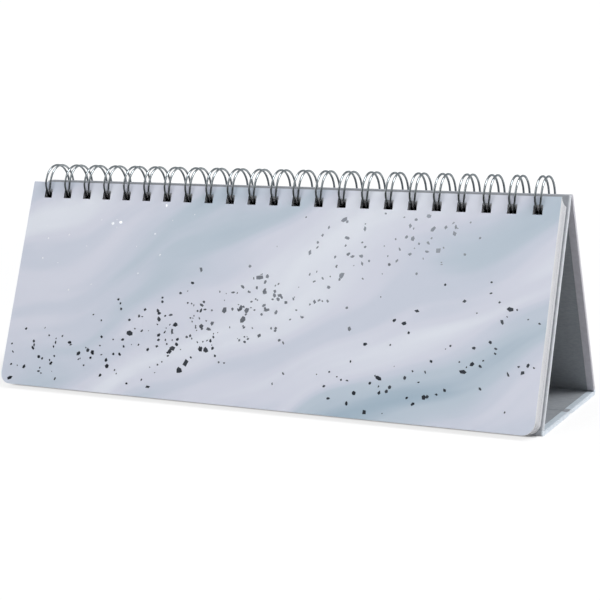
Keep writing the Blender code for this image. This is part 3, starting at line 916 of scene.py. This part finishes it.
def corner_outline():
    """A bottom corner from the side: y in from the corner over the floor, z up."""
    reach, fold = BEND / math.tan(OPENING / 2), PANEL / math.tan(OPENING / 2)
    arc = [math.pi / 2 + OPENING + (math.pi - OPENING) * k / BEND_STEPS
           for k in range(BEND_STEPS + 1)]
    outline = [panel_side]
    outline += [(reach + BEND * math.cos(a), BEND + BEND * math.sin(a)) for a in arc]
    outline += [(SETBACK, 0), (SETBACK, PANEL), (fold, PANEL)]
    outline.append((panel_side[0] + PANEL * math.sin(OPENING),
                    panel_side[1] - PANEL * math.cos(OPENING)))
    return outline


def groove_outline():
    """Half of the middle crease from the side, up to the middle of the base."""
    end, middle = HALF_BASE - GROOVE_HALF, HALF_BASE - GROOVE_SLIT
    return [(end, 0), (middle, 0.8 * MM), (middle, 1.2 * MM), (middle - 0.5 * MM, 1.75 * MM),
            (middle - 1.2 * MM, 1.97 * MM), (end, PANEL)]


print("corner outline", len(corner_outline()), "points, groove", len(groove_outline()), "points")

# %% [markdown]
# ## The creases
# Each outline is pulled across the stand's width. The two bottom corners stay where they are made,
# attached to neither panel. The crease in the middle of the base opens when the base is pushed up,
# so it is made in two halves, one on each half of the base.

# %% Make the creases
INNER_FACE = 0.3  # a crease's faces that look up by more than this lie inside the stand


def crease_shape(outline, corner, inward):
    """Pull a side outline across the stand and split off the turned-in borders at its ends."""
    shape = bmesh.new()
    low = STAND_X - STAND_HALF
    shape.faces.new([shape.verts.new((low, corner + inward * y, z)) for y, z in outline])
    pull_out(shape, (2 * STAND_HALF, 0, 0))
    for side in (-1, 1):
        cut_across(shape, shape.faces[:], (STAND_X + side * (STAND_HALF - TURN_IN), 0, 0),
                   (1, 0, 0))
    bmesh.ops.recalc_face_normals(shape, faces=shape.faces[:])
    return shape


def crease_piece(name, outline, corner, inward):
    """A crease in wrap paper, with lining paper inside between the turned-in borders."""
    shape = crease_shape(outline, corner, inward)
    for face in shape.faces:
        between = abs(face.calc_center_median().x - STAND_X) < STAND_HALF - TURN_IN
        face.material_index = 1 if between and face.normal.z > INNER_FACE else 0
    piece = finish_piece(name, shape, Matrix.Identity(4), WRAP_PAPER, LINER_PAPER)
    return piece


for name, corner, inward, panel, base in (("front", FRONT_CORNER, 1, "stand_front", "base_front"),
                                          ("rear", REAR_CORNER, -1, "stand_back", "base_rear")):
    bend = crease_piece(name + "_corner_paper", corner_outline(), corner, inward)
    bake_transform(bend)
    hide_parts(name + "_crease")
    groove = crease_piece(name + "_groove_paper", groove_outline(), corner, inward)
    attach(groove, base)
    if name == "front":
        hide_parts("base_crease")
    for piece in (bend, groove):
        print(piece.name, len(piece.data.polygons), "faces")

# %% [markdown]
# ## The background paper
# The planner stands on a sheet of white paper. Under it the sheet is shaded like any paper, which
# keeps the dark line where the stand meets the floor. Around it the sheet is greyer and adds light
# of its own where the camera or a mirror looks at it. That makes it clean white to the eye, and
# leaves only a faint, soft shadow.

# %% Background paper
# half sizes of the floor under the planner, and how fast its own light comes in around that
FOOTPRINT, FOOTPRINT_RIM = (147 * MM, 39.5 * MM), 3 * MM
GLOW_UNDER, GLOW_AROUND, GLOW_REACH = 0.13, (0.79, 0.9), (0.3, 1.6)


def background_paper():
    """White background paper: plain and matt under the planner, aglow to the lens around it."""
    made = bpy.data.materials.new("white_background_paper")
    made.use_nodes = True
    tree = made.node_tree
    tree.nodes.clear()
    paths = add_node(tree, "ShaderNodeLightPath").outputs
    seen = calculate(tree, "MAXIMUM", paths["Is Camera Ray"], paths["Is Glossy Ray"])
    seen = calculate(tree, "MAXIMUM", seen, paths["Is Transmission Ray"])
    place = object_place(tree)
    reach = add_node(tree, "ShaderNodeVectorMath", {0: place}, operation="LENGTH")
    aside = add_node(tree, "ShaderNodeVectorMath", {0: place}, operation="ABSOLUTE")
    aside = add_node(tree, "ShaderNodeSeparateXYZ", {"Vector": aside.outputs["Vector"]})
    past = [ramp(tree, aside.outputs[axis], edge, edge + FOOTPRINT_RIM, course="SMOOTHSTEP")
            for axis, edge in zip("XY", FOOTPRINT)]
    outside = calculate(tree, "MAXIMUM", *past)
    around = ramp(tree, reach.outputs["Value"], *GLOW_REACH, *GLOW_AROUND, "SMOOTHSTEP")
    glow = add_node(tree, "ShaderNodeMix", {0: outside, 2: GLOW_UNDER, 3: around}).outputs[0]
    tone = mix_colours(tree, calculate(tree, "MULTIPLY", seen, outside),
                       linear("#e2e2e2"), linear("#7c7c7c"))
    paper = add_node(tree, "ShaderNodeBsdfDiffuse", {"Color": tone})
    light = add_node(tree, "ShaderNodeEmission", {
        "Color": (1, 1, 1, 1), "Strength": calculate(tree, "MULTIPLY", seen, glow)})
    both = add_node(tree, "ShaderNodeAddShader", {
        0: paper.outputs["BSDF"], 1: light.outputs["Emission"]})
    add_node(tree, "ShaderNodeOutputMaterial", {"Surface": both.outputs["Shader"]})
    return made


BACKGROUND_PAPER = background_paper()
print("made", BACKGROUND_PAPER.name)

# %% [markdown]
# ## The floor and the sky
# The paper rises in a wide curve into the backdrop, so no horizon shows. A disc whose rim is pulled
# out and up, ring by ring, gives that curve on all sides. The sky is an even dome of light, and a
# little brighter overhead, as it is under a white ceiling.

# %% Raise the floor and light the sky
FLOOR_RADIUS, FLOOR_SIDES, FLOOR_DROP = 2.6, 64, 0.05 * MM
FLOOR_RISE = ((0.03, 1.05), (0.12, 1.10), (0.3, 1.14), (0.6, 1.16), (1.4, 1.165))  # up, out
SKY_COLOUR, SKY_LIGHT, SKY_TOP = (0.94, 0.97, 1.0, 1.0), (0.36, 0.60), 0.9

shape = bmesh.new()
bmesh.ops.create_circle(shape, cap_ends=True, segments=FLOOR_SIDES, radius=FLOOR_RADIUS)
for lift, out in FLOOR_RISE:
    edges = [e for e in shape.edges if e.is_boundary]
    ring = bmesh.ops.extrude_edge_only(shape, edges=edges)["geom"]
    for vert in [g for g in ring if isinstance(g, bmesh.types.BMVert)]:
        flat = Vector((vert.co.x, vert.co.y, 0)).normalized() * FLOOR_RADIUS * out
        vert.co = (flat.x, flat.y, lift)
for face in shape.faces:
    face.smooth = True
bmesh.ops.recalc_face_normals(shape, faces=shape.faces[:])
floor = finish_piece("studio_floor", shape, Matrix.Translation((0, 0, -FLOOR_DROP)),
                     BACKGROUND_PAPER)

world = bpy.data.worlds.new("studio")
world.use_nodes = True
sky = world.node_tree
toward = add_node(sky, "ShaderNodeTexCoord").outputs["Generated"]
height = add_node(sky, "ShaderNodeSeparateXYZ", {"Vector": toward}).outputs["Z"]
background = sky.nodes["Background"].inputs
background["Color"].default_value = SKY_COLOUR
sky.links.new(ramp(sky, height, 0.0, SKY_TOP, *SKY_LIGHT), background["Strength"])
bpy.context.scene.world = world
print(floor.name, len(floor.data.polygons), "faces")

# %% [markdown]
# ## The dark cards
# Bright steel shows what stands around it, and in an all-white room it would look white. A
# photographer stands black card near it, so that its sides turn dark. These two cards do only that:
# mirrors see them, but the camera doesn't, and they neither light nor shade the paper.

# %% Stand up the dark cards
CARD_NEAR, CARD_FAR, CARD_CLEAR = 0.2, 1.2, 0.001
CARD_GLOW, CARD_STEPS = 0.02, 24


def mirror_card(name, height, first, last):
    """A card over the floor and up at its far side, between two turns round the planner."""
    made = bpy.data.materials.new(name + "_card")
    made.use_nodes = True
    made.node_tree.nodes.clear()
    glow = add_node(made.node_tree, "ShaderNodeEmission", {"Strength": CARD_GLOW})
    add_node(made.node_tree, "ShaderNodeOutputMaterial", {"Surface": glow.outputs["Emission"]})
    shape = bmesh.new()
    profile = ((CARD_NEAR, CARD_CLEAR), (CARD_FAR, CARD_CLEAR), (CARD_FAR, height))
    line = [shape.verts.new((reach * math.sin(first), -reach * math.cos(first), up))
            for reach, up in profile]
    edges = [shape.edges.new(pair) for pair in zip(line, line[1:])]
    bmesh.ops.spin(shape, geom=line + edges, cent=(0, 0, 0), axis=(0, 0, 1), steps=CARD_STEPS,
                   angle=last - first)
    card = finish_piece(name, shape, Matrix.Identity(4), made)
    card.visible_camera = card.visible_diffuse = False
    card.visible_shadow = card.visible_transmission = False
    print(card.name, len(card.data.polygons), "faces")


mirror_card("low_dark_card", height=0.46, first=math.radians(-75), last=math.radians(-5))
mirror_card("tall_dark_card", height=1.0, first=math.radians(-5), last=math.radians(65))

# %% [markdown]
# ## The lamps
# Two square soft boxes: a weak one from the front left models the rings, and a strong one from
# above on the right lights the base and leaves the tunnel of the stand dark. A large lamp gives a
# soft edge to every shadow.

# %% Hang the lamps
def soft_box(name, place, aim, size, power):
    """A square area lamp that points at a place."""
    lamp = bpy.data.lights.new(name, "AREA")
    lamp.size, lamp.energy = size, power
    holder = bpy.data.objects.new(name, lamp)
    holder.location = place
    holder.rotation_euler = (Vector(aim) - Vector(place)).to_track_quat("-Z", "Y").to_euler()
    bpy.context.scene.collection.objects.link(holder)
    print(name, power, "W")


soft_box("key_box", place=(-0.9, -1.3, 1.5), aim=(0, 0, 0.05), size=1.2, power=7)
soft_box("top_box", place=(0.95, 0.1, 1.8), aim=(0.1, 0, 0), size=1.0, power=27)
